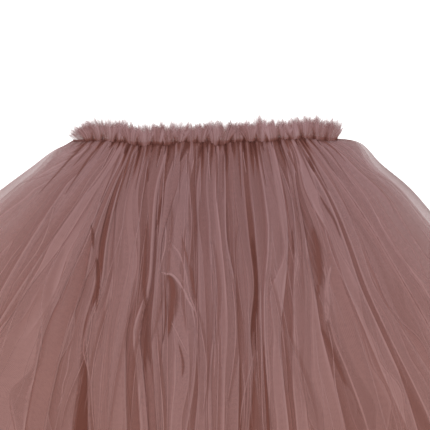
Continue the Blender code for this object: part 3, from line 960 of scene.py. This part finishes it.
def ruffle_plies(material):
    """The raw-edged heading: each ply is a row of fans of net that overlap each other."""
    ends, leans = np.array(RUFFLE_FANS).T
    ends = ends / 1000
    fans = len(ends) - 1
    # For each column its fan and its part of the fan's width, and for each row its level,
    # from 1 at the raw edge to 0 at the foot. Edge is 0 at a fan's sides and 1 in its middle.
    fan = np.repeat(np.arange(fans), LEAF_COLUMNS)
    part = np.tile(np.linspace(0, 1, LEAF_COLUMNS), fans)[None, :]
    level = np.linspace(1, 0, LEAF_ROWS)[:, None] ** 0.85
    even = np.linspace(0, 1, part.size)[None, :]
    edge = 2 * np.minimum(part, 1 - part)
    rightmost = fan == fans - 1
    for name, node, seam_z, tip_z, height, shift, stops, seed in RUFFLES:
        behind = name == "ruffle_front_3"
        rng = np.random.default_rng(seed)
        knot_rng = np.random.default_rng(9)
        start = ends[:-1] + rng.uniform(-0.0010, 0.0012, fans) + shift
        stop = ends[1:] + rng.uniform(-0.0012, 0.0010, fans) + shift
        seam_x = (start[fan] + (stop - start)[fan] * part[0])[None, :]
        seam_x = np.clip(seam_x, ends[0], ends[-1])
        sag = seam_drop(seam_x / WAIST_HALF)
        tops = np.interp(seam_x * 1000, *np.array(RUFFLE_TOPS).T) / 1000 + sag
        bulge = curve(seam_x * 1000, *np.array(RUFFLE_BULGES).T) / 1000
        phase = part * (2.5 + each_fan(rng, 0, 2, fan)) * 2 * math.pi + each_fan(rng, 0, 6, fan)
        crest = 0.5 + 0.5 * np.cos(phase)
        streaks = 0.5 + 0.5 * drift(rng, 0.0, even, 1, 170)
        hairs = np.abs(drift(rng, 0.0, even, 1, 230))
        fray = rng.uniform(-1, 1, part.shape)
        knots = smooth(0.1 + 1.1 * drift(knot_rng, 0.0, even, 1, 70))
        # A fan's length: ragged, shorter at its sides, and the rightmost is rounded off.
        long = height * tops * each_fan(rng, 0.95, 1.08, fan) * (1 - 0.16 * (1 - edge) ** 3)
        long = long * (0.90 + 0.14 * crest + 0.55 * hairs**1.5) + 0.0005 * fray
        long = long * np.where(rightmost, 1.04 - 0.50 * smooth((part - 0.50) / 0.55), 1.0)
        # Its lean in degrees: it spreads, and the fans at both ends of the waist lean out.
        lean = leans[fan] + each_fan(rng, -7, 7, fan) + each_fan(rng, 15, 28, fan) * (2 * part - 1)
        lean = np.where(rightmost, np.clip(1.3 * lean, -12, 26), lean)
        lean = np.where(fan < 2, np.clip(lean, -46, -14), lean)
        turn = np.radians(lean * (0.4 + 0.6 * level))
        turn = turn + np.radians(6) * drift(rng, 0.0, even, 1, 110)
        out = long * level
        x = WAIST_X + seam_x + out * np.sin(turn)
        y = SEAM_Y - sag - RUFFLE_FOOT - bulge + out * np.cos(turn)
        y = y - 0.0007 * (crest - 0.5) * (1 - level)
        z = seam_z + (tip_z - seam_z) * level**0.8 + 0.0006 * (0.3 + level) * crest
        z = z + 0.0005 * (fan % 2) + 0.0007 * np.sin(math.pi * part) * (0.3 + level)
        z = np.maximum(z, 0.0006)
        fine = 0.5 + 0.5 * drift(rng, 0.0, even, 1, 420)
        light = ruffle_light(rng, fan, edge, level, crest, streaks, fine, knots, behind)
        tip = smooth((1.0 - level) / 0.28)
        cover = stops * (0.30 + 0.70 * tip) * (1 + 0.6 * (1 - tip) * fray) * (0.8 + 0.4 * fine)
        # The leftmost fan is a single sheer ply.
        thick = np.where((fan < 1) & (not behind), 0.35, 1.0)
        cover, light = cover * thick + 0 * z, light + 0 * z
        make_ply(name, node, material, (x, y, z), cover, light, leaf=LEAF_COLUMNS)


# The casing of the elastic, a tube round the flattened waist: its radius, the radius of its
# turns at both ends, its middle's height, the room it leaves there, and its crimps.
CASING_TUBE = 0.0010
CASING_TURN = 0.00335
CASING_Z = 0.0054
CASING_ROOM = 0.0016
CASING_CRIMPS = 108
TORUS_TUBE = 0.25


def waist_gathers(material):
    """The gathered casing round the elastic: a ring, flattened with the waist and crimped."""
    bpy.ops.mesh.primitive_torus_add(
        major_segments=560, minor_segments=10, major_radius=1.0, minor_radius=TORUS_TUBE
    )
    ring = bpy.context.object
    ring.name = ring.data.name = "waist_gathers"
    turn = CASING_TURN
    reach = WAIST_HALF - turn - CASING_ROOM
    straight, arc = 2 * reach, math.pi * turn
    points = np.empty(len(ring.data.vertices) * 3)
    ring.data.vertices.foreach_get("co", points)
    px, py, pz = points.reshape(-1, 3).T
    around = np.arctan2(py, px) % (2 * math.pi)
    outward = (np.hypot(px, py) - 1) / TORUS_TUBE
    sideways = pz / TORUS_TUBE
    # Along the loop: the front strand, the left turn, the back strand and the right turn.
    along = around / (2 * math.pi) * 2 * (straight + arc)
    parts = (along < straight, along < straight + arc, along < 2 * straight + arc)
    up = math.pi / 2
    left_turn = up + (along - straight) / turn
    lean = np.select(parts, (up, left_turn, -up), -up + (along - 2 * straight - arc) / turn)
    aside, lift = turn * np.cos(lean), turn * np.sin(lean)
    back = -reach + (along - straight - arc)
    x = np.select(parts, (reach - along, -reach + aside, back), reach + aside)
    z = np.select(parts, (turn, lift, -turn), lift)
    tube = CASING_TUBE * (1 - 0.22 * np.cos(around * CASING_CRIMPS) ** 2)
    x = x + outward * tube * np.cos(lean)
    z = z + outward * tube * np.sin(lean)
    y = SEAM_Y - seam_drop(x / WAIST_HALF) + sideways * tube
    points = np.stack([WAIST_X + x, y, CASING_Z + z], axis=1)
    ring.data.vertices.foreach_set("co", points.ravel())
    bpy.ops.object.mode_set(mode="EDIT")
    bpy.ops.mesh.select_all(action="SELECT")
    bpy.ops.mesh.normals_make_consistent(inside=False)
    bpy.ops.object.mode_set(mode="OBJECT")
    bpy.ops.object.shade_smooth()
    ring.data.materials.append(material)
    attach(ring, "root")
    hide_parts("waist_elastic")


def floor():
    """A white floor that lights the sheer edges from behind."""
    bpy.ops.mesh.primitive_plane_add(size=4.0, location=(0, 0, -0.0004))
    ground = bpy.context.object
    ground.name = "floor"
    shader = Shader("white_floor")
    shader.finish(
        Base_Color=(0.8, 0.8, 0.8, 1.0),
        Emission_Color=(1.0, 1.0, 1.0, 1.0),
        Emission_Strength=1.0,
        Roughness=1.0,
        Specular_IOR_Level=0.0,
    )
    ground.data.materials.append(shader.material)


# The camera looks straight down, and its picture is as wide as this at this height, so that
# the skirt is framed as in the photograph.
CAMERA_PLACE = (0.0163, 0.11065, 3.0)
PICTURE_WIDTH = 0.36636
PICTURE_Z = 0.045
SENSOR = 36.0


def studio():
    """Soft light all round and a wide lamp nearly overhead, and the camera."""
    scene = bpy.context.scene
    world = bpy.data.worlds.new("studio")
    scene.world = world
    world.use_nodes = True
    background = world.node_tree.nodes["Background"].inputs
    background["Color"].default_value = (1.0, 0.98, 0.97, 1.0)
    background["Strength"].default_value = 0.40
    bpy.ops.object.light_add(type="SUN", location=(-0.6, 1.0, 2.0))
    lamp = bpy.context.object
    lamp.data.energy = 1.24
    lamp.data.angle = math.radians(35)
    lamp.rotation_euler = (math.radians(-12), math.radians(-9), 0.0)
    bpy.ops.object.camera_add(location=CAMERA_PLACE)
    camera = bpy.context.object
    camera.data.sensor_width = SENSOR
    camera.data.lens = SENSOR * (CAMERA_PLACE[2] - PICTURE_Z) / PICTURE_WIDTH
    camera.data.clip_end = 20.0
    scene.camera = camera
    # Sight passes through many sheer plies before it comes to the floor.
    scene.cycles.transparent_max_bounces = 48
    scene.view_settings.view_transform = "Standard"


bpy.ops.object.select_all(action="DESELECT")
# The net's colour where it is lit and in its folds, and its sheen, deeper for lower plies:
# their darker colours are painted shade for lying under the others.
rose_nets = (
    net("rose_net_1", (0.465, 0.267, 0.264, 1.0), (0.235, 0.088, 0.070, 1.0), 0.16),
    net("rose_net_2_shaded", (0.37, 0.186, 0.178, 1.0), (0.195, 0.067, 0.050, 1.0), 0.10),
    net("rose_net_3_shaded", (0.29, 0.135, 0.124, 1.0), (0.165, 0.052, 0.038, 1.0), 0.05),
)
under_net = net("under_net", (0.25, 0.092, 0.076, 1.0), (0.135, 0.030, 0.019, 1.0), 0.0)
waist_gathers(casing())
front_plies(rose_nets, under_net)
back_plies(rose_nets[0], under_net)
ruffle_plies(rose_nets[0])
floor()
studio()
